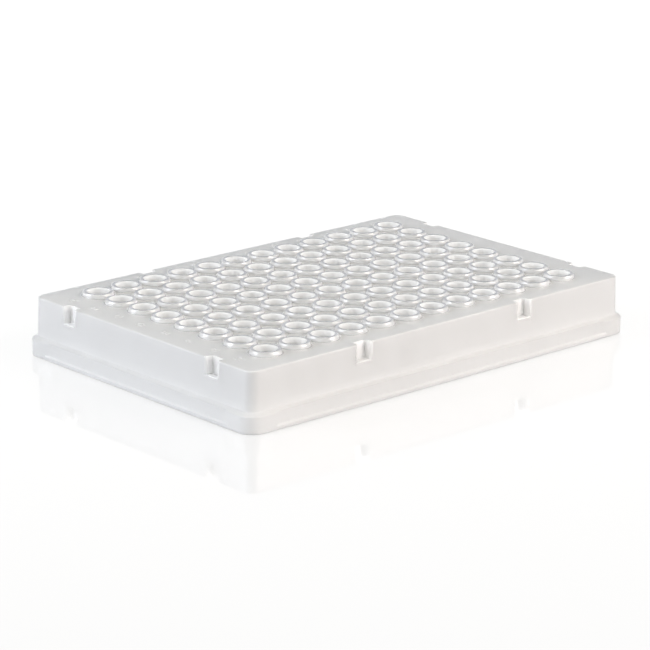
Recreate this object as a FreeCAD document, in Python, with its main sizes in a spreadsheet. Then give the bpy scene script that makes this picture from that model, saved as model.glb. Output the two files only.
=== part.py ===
import FreeCAD, Part
import math
import os

import Sketcher

# A fully skirted, low-profile 96-well plate, moulded in one piece of natural polypropylene.
# Frame: X along the long side, Y along the short side, Z up. The origin is the middle of the
# footprint, on the plane that the skirt stands on. Well A1 is at -X, +Y.
# All lengths are millimetres, all angles degrees.

SIZES = {
    "plate_length": (127.76, "footprint along X"),
    "plate_width": (85.48, "footprint along Y"),
    "plate_radius": (4.3, "corner radius of the foot"),
    "wall": (1.2, "thickness of the skirt"),
    "foot_height": (4.1, "upright face of the foot"),
    "foot_step": (1.28, "how far the foot stands out from the body at its base"),
    "ledge_slope": (30, "slope of the foot's upper side"),
    "ledge_height": (1.0, "height of the sloped part, the top of it inside the body"),
    "ledge_wall": (0.8, "thickness below the upper end of the foot's upright face"),
    "ledge_rounding": (0.35, "rounding between the foot's upright face and its slope"),
    "body_radius": (3.0, "corner radius of the body at its base"),
    "draft": (1.7, "draft of the skirt, inside and out"),
    "deck_height": (14.8, "top face of the deck above the ground"),
    "deck_thickness": (1.2, "thickness of the deck"),
    "edge_radius": (1.0, "rounding round the deck"),
    "relief_depth": (0.4, "how far the sides of the foot stand back between its corners"),
    "relief_margin": (8.0, "length of the full corner of the foot"),
    "relief_runout": (1.0, "length over which the relief runs out at its ends"),
    "relief_floor": (0.9, "full-depth strip left below the relief"),
    "notch_place": (27.0, "middle of each notch from the middle of its side"),
    "notch_width": (4.1, "width of a notch at the deck"),
    "notch_depth": (2.0, "depth of a notch behind the top of the skirt"),
    "notch_flare": (0.75, "depth over which the sides of a notch open out to the face of the skirt"),
    "notch_height": (4.4, "height of a notch, which is open at the deck"),
    "notch_draft": (2.5, "draft of a notch"),
    "pitch": (9.0, "spacing of the wells both ways"),
    "columns": (12, "wells along X"),
    "rows": (8, "wells along Y"),
    "mouth_radius": (2.75, "inner radius at the mouth of a well"),
    "well_wall": (0.4, "thickness of a well's wall"),
    "well_straight": (5.5, "depth of a well's straight part below its rim"),
    "well_tip_radius": (1.35, "inner radius at the bottom of a well"),
    "well_bottom": (1.0, "underside of a well above the ground"),
    "well_floor": (0.5, "thickness of a well's bottom"),
    "collar_radius": (4.0, "outer radius of the raised collar round a well"),
    "collar_height": (1.05, "height of the collar above the deck"),
    "collar_bevel": (0.3, "bevel round the top of the collar"),
    "clearance": (2.0, "how far a cutting shape runs past the surface that it cuts"),
}


def make_sheet(doc):
    """Puts the driving sizes into a sheet, one row each."""
    sheet = doc.addObject("Spreadsheet::Sheet", "sizes")
    for row, (alias, (value, note)) in enumerate(SIZES.items(), start=1):
        sheet.set(f"A{row}", alias)
        sheet.set(f"B{row}", str(value))
        sheet.setAlias(f"B{row}", alias)
        sheet.set(f"C{row}", note)
    doc.recompute()


def origin_feature(body, role):
    return next(item for item in body.Origin.OriginFeatures if item.Role == role)


def new_sketch(body, name, plane, **offset):
    """Adds a sketch on one of the body's planes, shifted by expressions for x, y and z."""
    sketch = body.newObject("Sketcher::SketchObject", name)
    sketch.AttachmentSupport = [(origin_feature(body, plane), "")]
    sketch.MapMode = "FlatFace"
    for axis, expression in offset.items():
        sketch.setExpression(f"AttachmentOffset.Base.{axis}", expression)
    body.Document.recompute()
    return sketch


def add_size(sketch, name, expression, *constraint):
    """Adds a dimension and binds it to an expression on the sheet."""
    kind, *place = constraint
    index = sketch.addConstraint(Sketcher.Constraint(kind, *place, sketch.evalExpression(expression)))
    sketch.renameConstraint(index, name)
    sketch.setExpression(f"Constraints.{name}", expression)


def draw_polygon(sketch, points):
    """Draws a closed outline through points, each given by its two distances from the origin."""
    corners = []
    for across, along in points:
        x, y = (float(sketch.evalExpression(place)) for place in (across, along))
        corners.append(FreeCAD.Vector(x, y, 0))
    sides = len(corners)
    for start in range(sides):
        sketch.addGeometry(Part.LineSegment(corners[start], corners[(start + 1) % sides]))
    for line in range(sides):
        sketch.addConstraint(Sketcher.Constraint("Coincident", line, 2, (line + 1) % sides, 1))
    for line, (across, along) in enumerate(points):
        if across == "0":
            sketch.addConstraint(Sketcher.Constraint("PointOnObject", line, 1, -2))
        else:
            add_size(sketch, f"across{line}", across, "DistanceX", -1, 1, line, 1)
        if along == "0":
            sketch.addConstraint(Sketcher.Constraint("PointOnObject", line, 1, -1))
        else:
            add_size(sketch, f"along{line}", along, "DistanceY", -1, 1, line, 1)


def draw_rounded_rectangle(sketch, length, width, radius):
    """Draws a rectangle with round corners about the sketch's origin."""
    far_x, far_y, bend = (float(sketch.evalExpression(size)) for size in (length, width, radius))
    near_x, near_y = far_x / 2 - bend, far_y / 2 - bend
    corners = [(near_x, near_y), (-near_x, near_y), (-near_x, -near_y), (near_x, -near_y)]
    arcs = []
    for quarter, (x, y) in enumerate(corners):
        circle = Part.Circle(FreeCAD.Vector(x, y, 0), FreeCAD.Vector(0, 0, 1), bend)
        arcs.append(Part.ArcOfCircle(circle, quarter * math.pi / 2, (quarter + 1) * math.pi / 2))
    for arc in arcs:
        sketch.addGeometry(arc)
    for side in range(4):
        sketch.addGeometry(Part.LineSegment(arcs[side].EndPoint, arcs[(side + 1) % 4].StartPoint))
    for side in range(4):
        line = 4 + side
        sketch.addConstraint(Sketcher.Constraint("Tangent", side, 2, line, 1))
        sketch.addConstraint(Sketcher.Constraint("Tangent", line, 2, (side + 1) % 4, 1))
        sketch.addConstraint(Sketcher.Constraint("Vertical" if side % 2 else "Horizontal", line))
    for arc in range(1, 4):
        sketch.addConstraint(Sketcher.Constraint("Equal", 0, arc))
    sketch.addConstraint(Sketcher.Constraint("Symmetric", 0, 3, 2, 3, -1, 1))
    add_size(sketch, "radius", radius, "Radius", 0)
    add_size(sketch, "length", length, "DistanceX", 5, 1, 7, 1)
    add_size(sketch, "width", width, "DistanceY", 6, 1, 4, 1)


def add_feature(body, kind, name, sketch, length, taper="0", reverse=False):
    """Adds a pad or a pocket of a sketch, with its sides drafted by the taper."""
    feature = body.newObject(f"PartDesign::{kind}", name)
    feature.Profile = sketch
    feature.setExpression("Length", length)
    feature.setExpression("TaperAngle", taper)
    feature.Reversed = reverse
    body.Tip = feature
    body.Document.recompute()
    return feature


def add_turned(body, kind, name, sketch):
    """Adds a revolution or a groove of a sketch about the sketch's own upright axis."""
    feature = body.newObject(f"PartDesign::{kind}", name)
    feature.Profile = sketch
    feature.ReferenceAxis = (sketch, ["V_Axis"])
    feature.Angle = 360
    body.Tip = feature
    body.Document.recompute()
    return feature


def add_fillet(body, name, base, places, radius):
    """Rounds the named edges, or all edges of the named faces, of a feature."""
    fillet = body.newObject("PartDesign::Fillet", name)
    fillet.Base = (base, places)
    fillet.setExpression("Radius", radius)
    body.Tip = fillet
    body.Document.recompute()


def edges_at(feature, height):
    """Names the edges of a feature that lie flat at a height."""
    tolerance = 1e-6
    names = []
    for number, edge in enumerate(feature.Shape.Edges, start=1):
        if abs(edge.BoundBox.ZMin - height) < tolerance and abs(edge.BoundBox.ZMax - height) < tolerance:
            names.append(f"Edge{number}")
    return names


def mirror_both_ways(body, name, originals):
    """Repeats features in the other three quarters of the plate."""
    repeat = body.newObject("PartDesign::MultiTransform", name)
    repeat.Originals = originals
    mirrors = []
    for plane in ("YZ_Plane", "XZ_Plane"):
        mirror = body.newObject("PartDesign::Mirrored", f"{name}_{plane[:2]}")
        mirror.MirrorPlane = (origin_feature(body, plane), [""])
        mirrors.append(mirror)
    repeat.Transformations = mirrors
    body.Tip = repeat
    body.Document.recompute()


def add_foot(body):
    """The broad foot with its sloped ledge, which gives the plate its standard footprint."""
    outline = new_sketch(body, "FootOutline", "XY_Plane")
    draw_rounded_rectangle(outline, "sizes.plate_length", "sizes.plate_width", "sizes.plate_radius")
    add_feature(body, "Pad", "Foot", outline, "sizes.foot_height")
    ledge = new_sketch(body, "LedgeOutline", "XY_Plane", z="sizes.foot_height")
    draw_rounded_rectangle(ledge, "sizes.plate_length", "sizes.plate_width", "sizes.plate_radius")
    slope = add_feature(body, "Pad", "Ledge", ledge, "sizes.ledge_height", "sizes.ledge_slope - 90")
    bend = edges_at(slope, ledge.AttachmentOffset.Base.z)
    add_fillet(body, "LedgeRounding", slope, bend, "sizes.ledge_rounding")


def add_skirt_and_deck(body):
    """The drafted block of the body, rounded along its upper edge."""
    outline = new_sketch(body, "BodyOutline", "XY_Plane")
    draw_rounded_rectangle(
        outline,
        "sizes.plate_length - 2 * sizes.foot_step",
        "sizes.plate_width - 2 * sizes.foot_step",
        "sizes.body_radius",
    )
    block = add_feature(body, "Pad", "Block", outline, "sizes.deck_height", "-sizes.draft")
    top = max(range(len(block.Shape.Faces)), key=lambda face: block.Shape.Faces[face].CenterOfMass.z)
    add_fillet(body, "DeckEdge", block, [f"Face{top + 1}"], "sizes.edge_radius")


def add_hollow(body):
    """Opens the block from below, first under the deck and then wider inside the foot."""
    under_deck = new_sketch(body, "HollowOutline", "XY_Plane")
    draw_rounded_rectangle(
        under_deck,
        "sizes.plate_length - 2 * sizes.foot_step - 2 * sizes.wall",
        "sizes.plate_width - 2 * sizes.foot_step - 2 * sizes.wall",
        "sizes.body_radius - sizes.wall",
    )
    depth = "sizes.deck_height - sizes.deck_thickness"
    add_feature(body, "Pocket", "Hollow", under_deck, depth, "-sizes.draft", reverse=True)
    in_foot = new_sketch(body, "FootHollowOutline", "XY_Plane")
    draw_rounded_rectangle(
        in_foot,
        "sizes.plate_length - 2 * sizes.wall",
        "sizes.plate_width - 2 * sizes.wall",
        "sizes.plate_radius - sizes.wall",
    )
    add_feature(body, "Pocket", "FootHollow", in_foot, "sizes.foot_height - sizes.ledge_wall", reverse=True)


def add_foot_reliefs(body):
    """The middle of each side of the foot stands back a little, up through the ledge."""
    full, run = "sizes.relief_margin", "sizes.relief_runout"
    for name, reach, along in (
        ("LongRelief", "sizes.plate_width / 2", "sizes.plate_length / 2"),
        ("ShortRelief", "sizes.plate_length / 2", "sizes.plate_width / 2"),
    ):
        points = [
            ("0", f"{reach} - sizes.relief_depth"),
            (f"{along} - {full} - {run}", f"{reach} - sizes.relief_depth"),
            (f"{along} - {full}", reach),
            (f"{along} - {full}", f"{reach} + sizes.clearance"),
            ("0", f"{reach} + sizes.clearance"),
        ]
        if name == "ShortRelief":
            points = [point[::-1] for point in points]
        outline = new_sketch(body, f"{name}Outline", "XY_Plane", z="sizes.relief_floor")
        draw_polygon(outline, points)
        height = "sizes.foot_height + sizes.ledge_height"
        relief = add_feature(body, "Pocket", name, outline, height, reverse=True)
        mirror_both_ways(body, f"{name}s", [relief])


def notch_points(levels):
    """An outline about the middle of a notch in a long side, as wide at each level as is given."""
    left = [(f"sizes.notch_place - {half_width}", level) for half_width, level in levels]
    right = [(f"sizes.notch_place + {half_width}", level) for half_width, level in levels]
    return left + right[::-1]


def add_notches(body):
    """Two open notches in each side of the skirt, each with its wall carried round inside."""
    draft = "tan(sizes.draft * 1 deg)"
    for name, size in (("LongNotch", "sizes.plate_width"), ("ShortNotch", "sizes.plate_length")):
        top_face = f"{size} / 2 - sizes.foot_step - sizes.deck_height * {draft}"
        back = f"{top_face} - sizes.notch_depth"
        half = "sizes.notch_width / 2"
        half_wall = f"({half} + sizes.wall)"
        half_flare = f"({half} + sizes.notch_flare + sizes.clearance)"
        wall = notch_points(
            [(half_wall, f"{back} - sizes.wall"), (half_wall, f"{top_face} - sizes.wall / 2")]
        )
        cut = notch_points(
            [
                (half, back),
                (half, f"{top_face} - sizes.notch_flare"),
                (half_flare, f"{top_face} + sizes.clearance"),
            ]
        )
        if name == "ShortNotch":
            wall = [point[::-1] for point in wall]
            cut = [point[::-1] for point in cut]
        foot = "sizes.deck_height - sizes.notch_height - sizes.wall"
        backing = new_sketch(body, f"{name}WallOutline", "XY_Plane", z=foot)
        draw_polygon(backing, wall)
        wall_block = add_feature(
            body, "Pad", f"{name}Wall", backing, "sizes.notch_height + sizes.wall - sizes.deck_thickness / 2"
        )
        opening = new_sketch(body, f"{name}Outline", "XY_Plane", z="sizes.deck_height")
        draw_polygon(opening, cut)
        notch = add_feature(body, "Pocket", name, opening, "sizes.notch_height", "-sizes.notch_draft")
        mirror_both_ways(body, f"{name}es", [wall_block, notch])


def repeat_wells(body, originals):
    """Repeats the first well along the columns and the rows."""
    grid = body.newObject("PartDesign::MultiTransform", "WellGrid")
    grid.Originals = originals
    steps = []
    for name, axis, reverse in (("columns", "X_Axis", False), ("rows", "Y_Axis", True)):
        step = body.newObject("PartDesign::LinearPattern", f"Well_{name}")
        step.Direction = (origin_feature(body, axis), [""])
        step.Reversed = reverse
        step.setExpression("Length", f"(sizes.{name} - 1) * sizes.pitch")
        step.setExpression("Occurrences", f"sizes.{name}")
        steps.append(step)
    grid.Transformations = steps
    body.Tip = grid
    body.Document.recompute()


def add_wells(body):
    """Thin-walled tapered wells, each with a raised, bevelled collar round its mouth."""
    place = {"x": "-(sizes.columns - 1) / 2 * sizes.pitch", "z": "-(sizes.rows - 1) / 2 * sizes.pitch"}
    rim = "(sizes.deck_height + sizes.collar_height)"
    outer = "sizes.mouth_radius + sizes.well_wall"
    shoulder = f"{rim} - sizes.well_straight"
    inside_deck = "sizes.deck_height - sizes.deck_thickness / 2"
    shell = new_sketch(body, "WellShellProfile", "XZ_Plane", **place)
    draw_polygon(
        shell,
        [
            ("0", "sizes.well_bottom"),
            ("sizes.well_tip_radius + sizes.well_wall / 2", "sizes.well_bottom"),
            (outer, shoulder),
            (outer, inside_deck),
            ("sizes.collar_radius", inside_deck),
            ("sizes.collar_radius", f"{rim} - sizes.collar_bevel"),
            ("sizes.collar_radius - sizes.collar_bevel", rim),
            ("0", rim),
        ],
    )
    bore = new_sketch(body, "WellBoreProfile", "XZ_Plane", **place)
    well_floor = "sizes.well_bottom + sizes.well_floor"
    draw_polygon(
        bore,
        [
            ("0", well_floor),
            ("sizes.well_tip_radius", well_floor),
            ("sizes.mouth_radius", shoulder),
            ("sizes.mouth_radius", f"{rim} + sizes.clearance"),
            ("0", f"{rim} + sizes.clearance"),
        ],
    )
    tube = add_turned(body, "Revolution", "WellShell", shell)
    hole = add_turned(body, "Groove", "WellBore", bore)
    repeat_wells(body, [tube, hole])


def build_plate(doc):
    body = doc.addObject("PartDesign::Body", "Plate")
    body.Label = "plate"
    add_foot(body)
    add_skirt_and_deck(body)
    add_hollow(body)
    add_foot_reliefs(body)
    add_notches(body)
    add_wells(body)
    return body


def check(doc, bodies):
    for item in doc.Objects:
        if {"Invalid", "Error"} & set(item.State):
            raise RuntimeError(f"{item.Label} didn't build: {item.State}")
    for body in bodies:
        if body.Shape.isNull() or not body.Shape.isValid() or len(body.Shape.Solids) != 1:
            raise RuntimeError(f"{body.Label} isn't one valid solid")


def main():
    doc = FreeCAD.newDocument("well_plate")
    make_sheet(doc)
    bodies = [build_plate(doc)]
    doc.recompute()
    check(doc, bodies)
    os.makedirs("parts", exist_ok=True)
    for body in bodies:
        body.Shape.exportStep(f"parts/{body.Label}.step")
        print(f"{body.Label}: {body.Shape.Volume:.1f} mm3, {len(body.Shape.Faces)} faces")


main()
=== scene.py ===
import math

import bmesh
import bpy
from mathutils import Matrix, Vector
from mathutils.geometry import delaunay_2d_cdt, intersect_point_tri_2d


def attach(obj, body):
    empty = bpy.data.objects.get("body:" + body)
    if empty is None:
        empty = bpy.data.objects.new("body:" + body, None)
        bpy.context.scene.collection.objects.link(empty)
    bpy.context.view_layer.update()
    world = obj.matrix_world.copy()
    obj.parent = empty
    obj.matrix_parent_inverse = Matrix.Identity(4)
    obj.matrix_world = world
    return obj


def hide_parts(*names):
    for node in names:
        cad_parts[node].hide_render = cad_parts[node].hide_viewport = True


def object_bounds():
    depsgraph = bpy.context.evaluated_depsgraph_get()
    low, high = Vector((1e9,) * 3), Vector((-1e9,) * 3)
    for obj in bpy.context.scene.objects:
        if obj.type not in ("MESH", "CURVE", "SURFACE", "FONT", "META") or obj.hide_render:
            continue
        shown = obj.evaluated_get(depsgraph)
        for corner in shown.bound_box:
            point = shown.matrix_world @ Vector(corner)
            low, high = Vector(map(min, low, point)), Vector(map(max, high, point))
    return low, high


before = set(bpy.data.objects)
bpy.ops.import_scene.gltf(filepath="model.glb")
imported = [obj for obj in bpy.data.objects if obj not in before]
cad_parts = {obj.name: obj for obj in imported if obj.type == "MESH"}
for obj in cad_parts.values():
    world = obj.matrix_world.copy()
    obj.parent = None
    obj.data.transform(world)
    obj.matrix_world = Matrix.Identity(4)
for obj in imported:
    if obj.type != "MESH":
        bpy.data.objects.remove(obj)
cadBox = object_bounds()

mm = 0.001  # the plate is worked out in millimetres and made in metres
halfway = 0.3  # where the middle point of a rounding in two steps lies, as a share of its size
sliver = 0.001  # a step up that is too small to see, where a section turns sharply

# Heights are above the ground. A reach is measured outwards from the core, which is
# the rectangle through the middles of the four round corners.
plate = {
    "length": (cadBox[1][0] - cadBox[0][0]) / mm,
    "width": (cadBox[1][1] - cadBox[0][1]) / mm,
    "cornerRadius": 4.3,
    "wall": 1.2,
    "footHeight": 4.1,
    "footStep": 1.28,
    "footRounding": 0.2,
    "roundingStart": 0.2,  # how far below the foot's height, as a share of the rounding
    "ledgeSlope": 30,
    "ledgeBlend": (0.25, 0.06, 0.02, 0.3),  # ledge to skirt: wide, near, lift and height
    "skirtFoot": 5.0,
    "skirtRings": (7.0, 9.0, 12.4),
    "innerRings": (6.0, 11.5),
    "footHollow": 3.3,
    "draft": math.radians(1.7),
    "deckHeight": 14.8,
    "deckThickness": 1.2,
    "deckEdge": 0.35,
    "fineRounding": 0.15,
    "groundRounding": 0.3,
    "sharpFrom": 25,
    "cornerSteps": 10,
    "sideSteps": 12,
    "deckEdgeSteps": 6,
    "fineSteps": 3,
    "innerSteps": 2,
}
relief = {"depth": 0.4, "margin": 8.0, "runout": 1.0, "floor": 0.9, "rise": 0.4, "lead": 0.1}
notch = {
    "place": 27.0,
    "width": 4.1,
    "depth": 2.0,
    "height": 4.4,
    "draft": math.radians(2.5),
    "mostLean": 0.3,
    "leanBelow": 1.0,  # how far under the notch its lean goes on
    "flare": 0.75,
    "flareSteps": 4,
    "rounding": 0.16,
    "wallStep": 0.01,  # the width of the step where the wall round the notch begins
}
well = {
    "pitch": 9.0,
    "columns": 12,
    "rows": 8,
    "segments": 32,
    "collarRadius": 4.0,
    "collarRounding": 0.12,
    "collarBevel": (0.25, 0.5),
    "collarFoot": 0.2,
    "mouthRadius": 2.75,
    "mouthRounding": 0.2,
    "straight": 5.5,
    "shoulder": (0.04, 0.3),  # how far in and how long the turn from straight to tapered is
    "rootFlare": 0.2,
    "tipRadius": 1.35,
    "tipShape": ((1.0, 0.5), (0.85, 0.22)),  # across and up, as shares of the tip's radius
    "tipFlat": (0.5, 0.05),  # across as a share, up in millimetres
    "fineSteps": 3,
    "bottom": 1.0,
    "floor": 0.5,
    "wall": 0.4,
}
marks = {
    "rowPlace": 57.4,
    "columnPlace": 37.2,
    "letterSize": 3.1,
    "numberSize": 2.5,
    "raised": 0.12,
    "smoothness": 3,
}
rimHeight = (cadBox[1][2] - cadBox[0][2]) / mm
coreX = plate["length"] / 2 - plate["cornerRadius"]
coreY = plate["width"] / 2 - plate["cornerRadius"]


def arc(reach, height, radius, start, end, steps):
    # points on an arc of the section, ends included, angles in degrees
    turns = [math.radians(start + (end - start) * step / steps) for step in range(steps + 1)]
    return [(reach + radius * math.cos(turn), height + radius * math.sin(turn)) for turn in turns]


def wallReach(height):
    # how far out the drafted skirt is at this height
    return plate["cornerRadius"] - plate["footStep"] - height * math.tan(plate["draft"])


def outerSection():
    # from the ground up the outside of the foot, over the ledge, up the skirt and onto the deck
    foot, fine, steps = plate["cornerRadius"], plate["groundRounding"], plate["fineSteps"]
    section = arc(foot - fine, fine, fine, -90, 0, steps)
    floor = relief["floor"]
    heights = (floor - relief["lead"], floor, floor + relief["rise"])
    section += [(foot, height) for height in heights]
    slope = math.tan(math.radians(plate["ledgeSlope"]))
    bend = plate["footRounding"]
    centre = plate["footHeight"] - bend * plate["roundingStart"]
    section += arc(foot - bend, centre, bend, 0, 90 - plate["ledgeSlope"], steps)
    reach, height = section[-1]
    skirt = wallReach(plate["skirtFoot"])
    ledgeTop = height + (reach - skirt) * slope
    section.append((foot - relief["depth"], height + (reach - foot + relief["depth"]) * slope))
    wide, near, lift, blend = plate["ledgeBlend"]
    section += [(skirt + wide, ledgeTop - wide * slope), (skirt + near, ledgeTop + lift)]
    low, middle, high = plate["skirtRings"]
    heights = [ledgeTop + blend, low, middle]
    floor, bend = notchFloor(), notch["rounding"]
    heights += [floor - bend, floor - bend * halfway, floor]
    heights += [floor + sliver, floor + bend * halfway, floor + bend, high]
    section += [(wallReach(height), height) for height in heights]
    edge, deck = plate["deckEdge"], plate["deckHeight"]
    return section + arc(wallReach(deck) - edge, deck - edge, edge, 0, 90, plate["deckEdgeSteps"])


def notchFloor():
    return plate["deckHeight"] - notch["height"]


def notchDrop(height):
    # how far the notch may cut in at this height, rounded where its floor meets the walls
    floor, bend, depth = notchFloor(), notch["rounding"], notch["depth"]
    part = bend * halfway
    steps = [(floor - bend, 0), (floor - part, part), (floor, bend)]
    steps += [(floor + sliver, depth - bend), (floor + part, depth - part), (floor + bend, depth)]
    return between(height, steps)


def reliefDrop(height):
    # how far the relief in the foot may step back at this height
    floor = relief["floor"]
    return between(height, [(floor, 0), (floor + relief["rise"], relief["depth"])])


def between(value, steps):
    # reads a value off straight lines between the given steps
    if value <= steps[0][0]:
        return steps[0][1]
    for (low, first), (high, second) in zip(steps, steps[1:]):
        if value <= high:
            return first + (second - first) * (value - low) / (high - low)
    return steps[-1][1]


def innerSection():
    # from the ground up the inside of the foot, under the ledge and up to the deck's underside
    inFoot, fine = plate["cornerRadius"] - plate["wall"], plate["fineRounding"]
    under = plate["deckHeight"] - plate["deckThickness"]
    bossFoot = notchFloor() - plate["wall"]
    section = arc(inFoot + fine, fine, fine, -90, -180, plate["innerSteps"])
    section.append((inFoot, plate["footHollow"]))
    low, high = plate["innerRings"]
    heights = (plate["footHollow"], low, bossFoot, bossFoot + sliver, high, under)
    return section + [(wallReach(height) - plate["wall"], height) for height in heights]


def sideStations(half):
    # places along a side, each with how deep a notch, a notch's wall and the relief are there
    deep, bend, flare = notch["depth"], notch["rounding"], notch["flare"]
    reliefEnd = half + plate["cornerRadius"] - relief["margin"]
    notchEdge = arc(flare, flare, flare, -90, -180, notch["flareSteps"])
    notchEdge += [(0, deep - bend), (-bend * halfway, deep - bend * halfway), (-bend, deep)]
    apart = 1e-5  # keeps the places of one notch edge from falling together
    stations = {}
    for sign in (-1, 1):
        stations[sign * reliefEnd] = {}
        stations[sign * (reliefEnd - relief["runout"])] = {}
        for middle in (-notch["place"], notch["place"]):
            for index, (out, depth) in enumerate(notchEdge):
                place = middle + sign * (notch["width"] / 2 + out) - index * sign * apart
                stations[place] = {"notch": depth, "lean": sign}
            wallEdge = middle + sign * (notch["width"] / 2 + plate["wall"])
            stations[wallEdge] = {}
            stations[wallEdge - sign * notch["wallStep"]] = {"boss": True}
    for step in range(plate["sideSteps"] + 1):
        stations.setdefault(-half + 2 * half * step / plate["sideSteps"], {})
    bossEnd = notch["width"] / 2 + plate["wall"] - notch["wallStep"] / 2
    listed = []
    for place, known in sorted(stations.items()):
        nearest = min(abs(place - notch["place"]), abs(place + notch["place"]))
        inNotch = nearest < notch["width"] / 2 - bend
        fade = min(1, max(0, (reliefEnd - abs(place)) / relief["runout"]))
        listed.append({
            "place": place,
            "notch": known.get("notch", deep if inNotch else 0.0),
            "lean": known.get("lean", 0),
            "boss": known.get("boss", nearest < bossEnd),
            "relief": relief["depth"] * fade,
        })
    return listed


def stationsRound():
    # the whole way round: each side in turn and the corner after it
    sides = [(coreX, coreY, 0), (coreY, coreX, 90), (coreX, coreY, 180), (coreY, coreX, 270)]
    plain = {"along": Vector((0, 0)), "notch": 0.0, "lean": 0, "boss": False, "relief": 0.0}
    stations = []
    for half, far, turn in sides:
        # each side is laid out along its own direction, with its outside to the right
        turned = Matrix.Rotation(math.radians(turn), 2)
        along, out = turned @ Vector((1, 0)), turned @ Vector((0, -1))
        for station in sideStations(half):
            base = along * station["place"] + out * far
            stations.append(station | {"base": base, "along": along, "out": out})
        corner = turned @ Vector((half, -far))
        for step in range(1, plate["cornerSteps"]):
            swing = Matrix.Rotation(math.radians(90 * step / plate["cornerSteps"]), 2)
            stations.append(plain | {"base": corner, "out": swing @ turned @ Vector((0, -1))})
    return stations


def outerPoint(station, reach, height):
    cut = min(station["notch"], notchDrop(height))
    if cut > 0:
        reach = min(reach, wallReach(height) - cut)
    stepBack = min(station["relief"], reliefDrop(height))
    if stepBack > 0 and height < plate["footHeight"] + plate["footStep"]:
        reach = min(reach, plate["cornerRadius"] - stepBack)
    flat = station["base"] + station["out"] * reach
    if height > notchFloor() - notch["leanBelow"]:
        # the notch's sides lean in towards its floor
        lean = max(0, plate["deckHeight"] - height) * math.tan(notch["draft"])
        flat = flat - station["along"] * min(lean, notch["mostLean"]) * station["lean"]
    return Vector((flat.x, flat.y, height))


def innerPoint(station, reach, height):
    # behind a notch the wall is carried round it
    if station["boss"] and height > notchFloor() - plate["wall"]:
        reach = min(reach, wallReach(height) - notch["depth"] - plate["wall"])
    flat = station["base"] + station["out"] * reach
    return Vector((flat.x, flat.y, height))


def wellSection():
    # from the deck over the collar, down the bore to the middle of its bottom
    deck, outer, foot = plate["deckHeight"], well["collarRadius"], well["collarFoot"]
    bend, lip, steps = well["collarRounding"], well["mouthRounding"], well["fineSteps"]
    across, down = well["collarBevel"]
    slant = math.degrees(math.atan2(across, down))
    section = [(outer + foot, deck), (outer + foot * halfway, deck + foot * halfway)]
    section += [(outer, deck + foot), (outer, rimHeight - bend - down)]
    middle = outer - across - bend * math.cos(math.radians(slant))
    section += arc(middle, rimHeight - bend, bend, slant, 90, steps)
    section += arc(well["mouthRadius"] + lip, rimHeight - lip, lip, 90, 180, steps)
    section += tubeShoulder(well["mouthRadius"])
    return section + tubeEnd(well["tipRadius"], well["bottom"] + well["floor"])


def tubeSection():
    # from the deck's underside down the outside of a well
    outer, flare = well["mouthRadius"] + well["wall"], well["rootFlare"]
    under = plate["deckHeight"] - plate["deckThickness"]
    section = [(outer + flare, under), (outer, under - flare)] + tubeShoulder(outer)
    return section + tubeEnd(well["tipRadius"] + well["wall"] / 2, well["bottom"])


def tubeShoulder(radius):
    # where a tube turns from straight to tapered
    inwards, long = well["shoulder"]
    height = rimHeight - well["straight"]
    return [(radius, height + long), (radius - inwards, height - long)]


def tubeEnd(radius, bottom):
    # the rounded end of a tube, from its side to its middle
    section = [(radius * across, bottom + radius * up) for across, up in well["tipShape"]]
    share, rise = well["tipFlat"]
    return section + [(radius * share, bottom + rise)]


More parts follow.
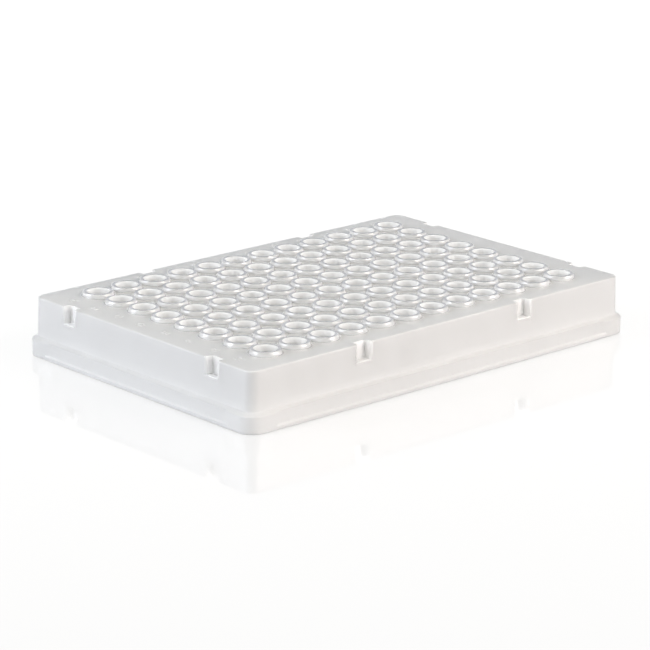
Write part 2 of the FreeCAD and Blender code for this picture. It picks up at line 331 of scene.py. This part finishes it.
class Moulding:
    # gathers points and faces, and makes them one mesh
    def __init__(self):
        self.points, self.faces, self.finishes = [], [], []

    def add(self, points):
        first = len(self.points)
        self.points += points
        return list(range(first, len(self.points)))

    def face(self, corners, finish="frosted"):
        self.faces.append(corners)
        self.finishes.append(finish)

    def bands(self, rings, flip=False, finish="frosted"):
        for lower, upper in zip(rings, rings[1:]):
            count = len(lower)
            for step in range(count):
                after = (step + 1) % count
                corners = [lower[step], lower[after], upper[after], upper[step]]
                chosen = finish if isinstance(finish, str) else finish[step]
                self.face(corners[::-1] if flip else corners, chosen)

    def flatField(self, outline, window, height, flip, raised=()):
        # a flat face between an outline and a window in it, both in order round, with signs
        known = outline + window
        count = len(outline)
        edges = [(i, (i + 1) % count) for i in range(count)]
        edges += [(count + i, count + (i + 1) % len(window)) for i in range(len(window))]
        lifted = {}
        for points, _, rim in raised:
            foot = self.add([Vector((*point, height)) for point in points])
            top = self.add([Vector((*point, height + marks["raised"])) for point in points])
            for start, end in rim:
                self.face([foot[start], foot[end], top[end], top[start]])
            lifted.update(zip(foot, top))
            edges += [(len(known) + start, len(known) + end) for start, end in rim]
            known = known + foot
        flat = [Vector(self.points[i][:2]) for i in known]
        insideOnly, tolerance = 1, 1e-7
        made, _, triangles, origins, _, _ = delaunay_2d_cdt(flat, edges, [], insideOnly, tolerance)
        halfX, halfY = cellsHalf()
        names = [known[origin[0]] for origin in origins]
        for triangle in triangles:
            middle = sum((made[i] for i in triangle), Vector((0, 0))) / 3
            if abs(middle.x) < halfX and abs(middle.y) < halfY:
                continue
            corners = [names[i] for i in triangle]
            if all(i in lifted for i in corners) and isOnSign(middle, raised):
                corners = [lifted[i] for i in corners]
            self.face(corners[::-1] if flip else corners)

    def makeMesh(self, name):
        mesh = bpy.data.meshes.new(name)
        mesh.from_pydata([point * mm for point in self.points], [], self.faces)
        slots = list(finishes)
        for polygon, finish in zip(mesh.polygons, self.finishes):
            polygon.material_index = slots.index(finish)
        work = bmesh.new()
        work.from_mesh(mesh)
        bmesh.ops.remove_doubles(work, verts=work.verts, dist=1e-7)
        bmesh.ops.triangulate(work, faces=[face for face in work.faces if len(face.verts) > 4])
        work.to_mesh(mesh)
        openEdges = sum(1 for edge in work.edges if len(edge.link_faces) != 2)
        volume = round(work.calc_volume() / (10 * mm) ** 3, 2)
        print("plate mesh:", len(work.faces), "faces,", openEdges, "open edges,", volume, "cm3")
        work.free()
        mesh.shade_smooth()
        mesh.set_sharp_from_angle(angle=math.radians(plate["sharpFrom"]))
        return mesh


def cellsHalf():
    # half the block of cells, along and across
    return well["columns"] * well["pitch"] / 2, well["rows"] * well["pitch"] / 2


def signShape(text, place, size):
    # a letter or number as points, triangles and the edges round it
    curve = bpy.data.curves.new("sign", "FONT")
    curve.body, curve.size, curve.resolution_u = text, size, marks["smoothness"]
    curve.align_x = curve.align_y = "CENTER"
    writing = bpy.data.objects.new("sign", curve)
    bpy.context.collection.objects.link(writing)
    mesh = bpy.data.meshes.new_from_object(writing)
    points = [place + vertex.co.xy for vertex in mesh.vertices]
    triangles = [list(polygon.vertices) for polygon in mesh.polygons]
    sides = [(corners[i], corners[(i + 1) % 3]) for corners in triangles for i in range(3)]
    rim = [side for side in sides if side[::-1] not in sides]
    bpy.data.objects.remove(writing)
    bpy.data.meshes.remove(mesh)
    return points, triangles, rim


def isOnSign(spot, raised):
    # whether a spot of the deck lies inside one of the signs
    for points, triangles, _ in raised:
        for corners in triangles:
            if intersect_point_tri_2d(spot, *(points[i] for i in corners)):
                return True
    return False


def signShapes():
    # row letters beside column 1 and column numbers behind row A
    shapes = []
    for row in range(well["rows"]):
        place = Vector((-marks["rowPlace"], wellCentre(row, 0).y))
        shapes.append(signShape(chr(ord("A") + row), place, marks["letterSize"]))
    for column in range(well["columns"]):
        place = Vector((wellCentre(0, column).x, marks["columnPlace"]))
        shapes.append(signShape(str(column + 1), place, marks["numberSize"]))
    return shapes


def wellCentre(row, column):
    pitch = well["pitch"]
    along = (column - (well["columns"] - 1) / 2) * pitch
    return Vector((along, ((well["rows"] - 1) / 2 - row) * pitch))


def squarePoint(step, segments):
    # a place on the edge of a unit square, as many steps round as there are on the circle,
    # and the turn on the circle that goes with it, both from the square's first corner
    turn = 2 * math.pi * step / segments - 3 * math.pi / 4
    side, part = divmod(step, segments // 4)
    along = -0.5 + part / (segments // 4)
    places = [(along, -0.5), (0.5, along), (-along, 0.5), (-0.5, -along)]
    return Vector(places[side]), turn


def addCell(moulding, centre, section, height, flip):
    # one square of the deck with its well, or with its tube where it is flipped
    segments, pitch = well["segments"], well["pitch"]
    square, rings = [], [[] for _ in section]
    for step in range(segments):
        corner, turn = squarePoint(step, segments)
        square.append(Vector((*(centre + corner * pitch), height)))
        for ring, (radius, level) in zip(rings, section):
            x = centre.x + radius * math.cos(turn)
            ring.append(Vector((x, centre.y + radius * math.sin(turn), level)))
    square = moulding.add(square)
    rings = [moulding.add(ring) for ring in rings]
    moulding.bands([square, rings[0]], flip)
    # the collar ends at the innermost of the highest rings
    rim = max(range(len(section)), key=lambda i: (round(section[i][1], 6), -section[i][0]))
    inside = "tube" if flip else "bore"
    moulding.bands(rings[: rim + 1], flip, "collar")
    moulding.bands(rings[rim:], flip, inside)
    tip = moulding.add([Vector((centre.x, centre.y, section[-1][1]))])[0]
    for step in range(segments):
        corners = [rings[-1][step], rings[-1][(step + 1) % segments], tip]
        moulding.face(corners[::-1] if flip else corners, inside)


def gridEdge(moulding, height):
    # the outline of the block of cells, in the cells' own steps
    stepsX, stepsY = (well[name] * well["segments"] // 4 for name in ("columns", "rows"))
    halfX, halfY = cellsHalf()
    line = [(-halfX + 2 * halfX * i / stepsX, -halfY) for i in range(stepsX)]
    line += [(halfX, -halfY + 2 * halfY * i / stepsY) for i in range(stepsY)]
    line += [(halfX - 2 * halfX * i / stepsX, halfY) for i in range(stepsX)]
    line += [(-halfX, halfY - 2 * halfY * i / stepsY) for i in range(stepsY)]
    return moulding.add([Vector((x, y, height)) for x, y in line])


def makePlate():
    moulding = Moulding()
    stations = stationsRound()
    outside, inside = outerSection(), innerSection()
    outer = [moulding.add([outerPoint(spot, *place) for spot in stations]) for place in outside]
    inner = [moulding.add([innerPoint(spot, *place) for spot in stations]) for place in inside]
    for (_, height), rings in zip(outside, zip(outer, outer[1:])):
        inNotch = height >= notchFloor() - notch["rounding"]
        clear = [inNotch and spot["notch"] > 0 for spot in stations]
        moulding.bands(rings, finish=["notch" if here else "frosted" for here in clear])
    moulding.bands(inner, flip=True)
    moulding.bands([inner[0], outer[0]])
    deck, under = plate["deckHeight"], plate["deckHeight"] - plate["deckThickness"]
    moulding.flatField(outer[-1], gridEdge(moulding, deck), deck, False, signShapes())
    moulding.flatField(inner[-1], gridEdge(moulding, under), under, True)
    for row in range(well["rows"]):
        for column in range(well["columns"]):
            centre = wellCentre(row, column)
            addCell(moulding, centre, wellSection(), deck, False)
            addCell(moulding, centre, tubeSection(), under, True)
    piece = bpy.data.objects.new("plateMoulding", moulding.makeMesh("plateMoulding"))
    bpy.context.collection.objects.link(piece)
    return piece


# milk is the share of the light that the plastic scatters, glow the share of that which
# spreads inside it, shine the strength of its reflections, gloss that of a second, softer
# reflection and clouding the drift of the milk
white = (0.985, 0.985, 0.985, 1)
clearWhite = (0.998, 0.998, 0.998, 1)
finishes = {
    "frosted": {"color": white, "milk": 0.5, "clouding": 0.06, "roughness": 0.33, "glow": 0.0,
                "shine": 0.5, "gloss": 0.0},
    "collar": {"color": clearWhite, "milk": 0.51, "clouding": 0.04, "roughness": 0.05, "glow": 1.0,
               "shine": 1.0, "gloss": 0.6},
    "bore": {"color": clearWhite, "milk": 0.8, "clouding": 0.04, "roughness": 0.06, "glow": 1.0,
             "shine": 0.5, "gloss": 0.0},
    "tube": {"color": white, "milk": 0.3, "clouding": 0.04, "roughness": 0.06, "glow": 0.0,
             "shine": 0.5, "gloss": 0.0},
    "notch": {"color": clearWhite, "milk": 0.86, "clouding": 0.04, "roughness": 0.12, "glow": 1.0,
              "shine": 1.0, "gloss": 0.0},
}
polypropylene = {"ior": 1.49, "spread": 0.004, "cloudSize": 18.0, "grainSize": 0.6,
                 "roughnessDrift": 0.1, "glossRoughness": 0.17, "glossIor": 1.65}

print("making the plate")
plateMoulding = makePlate()
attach(plateMoulding, "root")
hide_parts("plate")


def newMaterial(name):
    material = bpy.data.materials.new(name)
    material.use_nodes = True
    nodes, links = material.node_tree.nodes, material.node_tree.links
    return material, nodes, links, nodes["Principled BSDF"]


def addNoise(nodes, links, size, detail):
    # an even noise about 0, its grains this many millimetres across
    place = nodes.new("ShaderNodeTexCoord")
    noise = nodes.new("ShaderNodeTexNoise")
    noise.inputs["Scale"].default_value = 1 / (size * mm)
    noise.inputs["Detail"].default_value = detail
    links.new(place.outputs["Object"], noise.inputs["Vector"])
    centred = nodes.new("ShaderNodeMath")
    centred.operation = "SUBTRACT"
    centred.inputs[1].default_value = 0.5
    links.new(noise.outputs[0], centred.inputs[0])
    return centred.outputs[0]


def addDrift(nodes, links, noise, amount, middle, socket):
    # sets a socket to its middle value, give or take the noise
    drift = nodes.new("ShaderNodeMath")
    drift.operation = "MULTIPLY_ADD"
    drift.use_clamp = True
    drift.inputs[1].default_value = 2 * amount
    drift.inputs[2].default_value = middle
    links.new(noise, drift.inputs[0])
    links.new(drift.outputs[0], socket)


def makePlastic(name, finish):
    material, nodes, links, shader = newMaterial(name)
    shader.inputs["Base Color"].default_value = finish["color"]
    shader.inputs["IOR"].default_value = polypropylene["ior"]
    shader.inputs["Specular IOR Level"].default_value = finish["shine"]
    shader.inputs["Coat Weight"].default_value = finish["gloss"]
    shader.inputs["Coat Roughness"].default_value = polypropylene["glossRoughness"]
    shader.inputs["Coat IOR"].default_value = polypropylene["glossIor"]
    shader.inputs["Subsurface Weight"].default_value = finish["glow"]
    shader.inputs["Subsurface Scale"].default_value = polypropylene["spread"]
    shader.inputs["Subsurface Radius"].default_value = (1, 1, 1)
    clouds = addNoise(nodes, links, polypropylene["cloudSize"], 2)
    clearness = shader.inputs["Transmission Weight"]
    addDrift(nodes, links, clouds, -finish["clouding"], 1 - finish["milk"], clearness)
    fine = addNoise(nodes, links, polypropylene["grainSize"], 3)
    drift = polypropylene["roughnessDrift"] * finish["roughness"]
    addDrift(nodes, links, fine, drift, finish["roughness"], shader.inputs["Roughness"])
    return material


print("making the plastic")
for name, finish in finishes.items():
    plateMoulding.data.materials.append(makePlastic(name + "Polypropylene", finish))

floor = {"size": 4.0, "drop": 0.0001, "color": 0.2, "roughness": 0.0, "ior": 2.1,
         "whiteSeen": 0.583, "whiteThrough": 0.36}


def addWhite(nodes, links, shader):
    # the white that the floor shows straight on, in reflections and through the plastic;
    # it lights nothing
    path = nodes.new("ShaderNodeLightPath")
    through = nodes.new("ShaderNodeMath")
    through.operation = "MAXIMUM"
    share = nodes.new("ShaderNodeMath")
    share.operation = "MULTIPLY"
    share.inputs[1].default_value = floor["whiteThrough"]
    seen = nodes.new("ShaderNodeMath")
    seen.operation = "MULTIPLY_ADD"
    seen.inputs[1].default_value = floor["whiteSeen"]
    links.new(path.outputs["Is Glossy Ray"], through.inputs[0])
    links.new(path.outputs["Is Transmission Ray"], through.inputs[1])
    links.new(through.outputs[0], share.inputs[0])
    links.new(path.outputs["Is Camera Ray"], seen.inputs[0])
    links.new(share.outputs[0], seen.inputs[2])
    shader.inputs["Emission Color"].default_value = (1, 1, 1, 1)
    links.new(seen.outputs[0], shader.inputs["Emission Strength"])


def makeFloor():
    mesh = bpy.data.meshes.new("floor")
    half = floor["size"] / 2
    corners = [(-half, -half), (half, -half), (half, half), (-half, half)]
    mesh.from_pydata([(x, y, -floor["drop"]) for x, y in corners], [], [(0, 1, 2, 3)])
    ground = bpy.data.objects.new("floor", mesh)
    bpy.context.collection.objects.link(ground)
    material, nodes, links, shader = newMaterial("floorWhite")
    material.cycles.emission_sampling = "NONE"
    shader.inputs["Base Color"].default_value = (floor["color"],) * 3 + (1,)
    shader.inputs["Roughness"].default_value = floor["roughness"]
    shader.inputs["IOR"].default_value = floor["ior"]
    addWhite(nodes, links, shader)
    mesh.materials.append(material)


print("laying the floor")
makeFloor()

# the surroundings are bright low down in front and at the sides, darker behind and overhead
studio = {
    "behind": (0.6744, 0.7384, 0),  # the level direction that looks away from the camera
    "low": (1.25, 1.25, 1.25, 1),
    "lowBehind": (0.226, 0.279, 0.368, 1),
    "overhead": (0.42, 0.415, 0.345, 1),
    "lowEnd": 0.3,  # the upward parts of a direction between which low turns to overhead
    "overheadStart": 0.75,
    "bounces": 32,
    "lights": [
        # name, place, aim, size, watts, color
        ("sideLeft", (-1.3, 0.7, 0.7), (0, 0, 0), 1.0, 18.0, (0.86, 0.9, 1.0)),
        ("sideRight", (0.7, -1.3, 0.7), (0, 0, 0), 1.0, 20.2, (1.0, 0.91, 0.87)),
    ],
}


def makeWorld():
    world = bpy.data.worlds.new("studio")
    bpy.context.scene.world = world
    world.use_nodes = True
    nodes, links = world.node_tree.nodes, world.node_tree.links

    def mix(factor, first, second):
        node = nodes.new("ShaderNodeMixRGB")
        links.new(factor, node.inputs["Fac"])
        for color, name in ((first, "Color1"), (second, "Color2")):
            if isinstance(color, tuple):
                node.inputs[name].default_value = color
            else:
                links.new(color, node.inputs[name])
        return node.outputs["Color"]

    place = nodes.new("ShaderNodeTexCoord")
    backwards = nodes.new("ShaderNodeVectorMath")
    backwards.operation = "DOT_PRODUCT"
    backwards.inputs[1].default_value = studio["behind"]
    ahead = nodes.new("ShaderNodeMath")
    ahead.operation = "MAXIMUM"
    ahead.inputs[1].default_value = 0
    squared = nodes.new("ShaderNodeMath")
    squared.operation = "POWER"
    squared.inputs[1].default_value = 2
    links.new(place.outputs["Generated"], backwards.inputs[0])
    links.new(backwards.outputs["Value"], ahead.inputs[0])
    links.new(ahead.outputs[0], squared.inputs[0])
    split = nodes.new("ShaderNodeSeparateXYZ")
    links.new(place.outputs["Generated"], split.inputs[0])
    rise = nodes.new("ShaderNodeMapRange")
    rise.inputs["From Min"].default_value = studio["lowEnd"]
    rise.inputs["From Max"].default_value = studio["overheadStart"]
    links.new(split.outputs["Z"], rise.inputs["Value"])
    # the backdrop is plain white, seen straight on or mirrored in the floor
    path = nodes.new("ShaderNodeLightPath")
    seen = nodes.new("ShaderNodeMath")
    seen.operation = "MAXIMUM"
    links.new(path.outputs["Is Camera Ray"], seen.inputs[0])
    links.new(path.outputs["Is Singular Ray"], seen.inputs[1])
    ring = mix(squared.outputs[0], studio["low"], studio["lowBehind"])
    sky = mix(rise.outputs[0], ring, studio["overhead"])
    links.new(mix(seen.outputs[0], sky, (1, 1, 1, 1)), nodes["Background"].inputs["Color"])


def makeLights():
    for name, place, aim, size, watts, color in studio["lights"]:
        data = bpy.data.lights.new(name, "AREA")
        data.size, data.energy, data.color = size, watts, color
        lamp = bpy.data.objects.new(name, data)
        lamp.location = place
        lamp.rotation_euler = (Vector(aim) - Vector(place)).to_track_quat("-Z", "Y").to_euler()
        bpy.context.collection.objects.link(lamp)
    tracing = bpy.context.scene.cycles
    tracing.max_bounces = tracing.transmission_bounces = tracing.glossy_bounces = studio["bounces"]


print("lighting the studio")
makeWorld()
makeLights()

camera = {"azimuth": -42.42, "elevation": 16.81, "roll": -0.517, "distance": 0.69087,
          "target": (-0.0255, -0.02563, 0.01539), "lens": 159.9, "sensor": 36,
          "nearest": 0.01, "farthest": 20}


def makeCamera():
    turn, rise, roll = (math.radians(camera[name]) for name in ("azimuth", "elevation", "roll"))
    level = math.cos(rise)
    away = Vector((math.sin(turn) * level, -math.cos(turn) * level, math.sin(rise)))
    right = (-away).cross(Vector((0, 0, 1))).normalized()
    up = right.cross(-away)
    sideways = right * math.cos(roll) - up * math.sin(roll)
    upright = right * math.sin(roll) + up * math.cos(roll)
    data = bpy.data.cameras.new("camera")
    data.lens, data.sensor_width = camera["lens"], camera["sensor"]
    data.clip_start, data.clip_end = camera["nearest"], camera["farthest"]
    eye = bpy.data.objects.new("camera", data)
    turned = Matrix((sideways, upright, away)).transposed().to_4x4()
    place = Vector(camera["target"]) + away * camera["distance"]
    eye.matrix_world = Matrix.Translation(place) @ turned
    bpy.context.collection.objects.link(eye)
    bpy.context.scene.camera = eye


print("setting the camera")
makeCamera()
bpy.context.scene.view_settings.view_transform = "Standard"

print("scene finished")
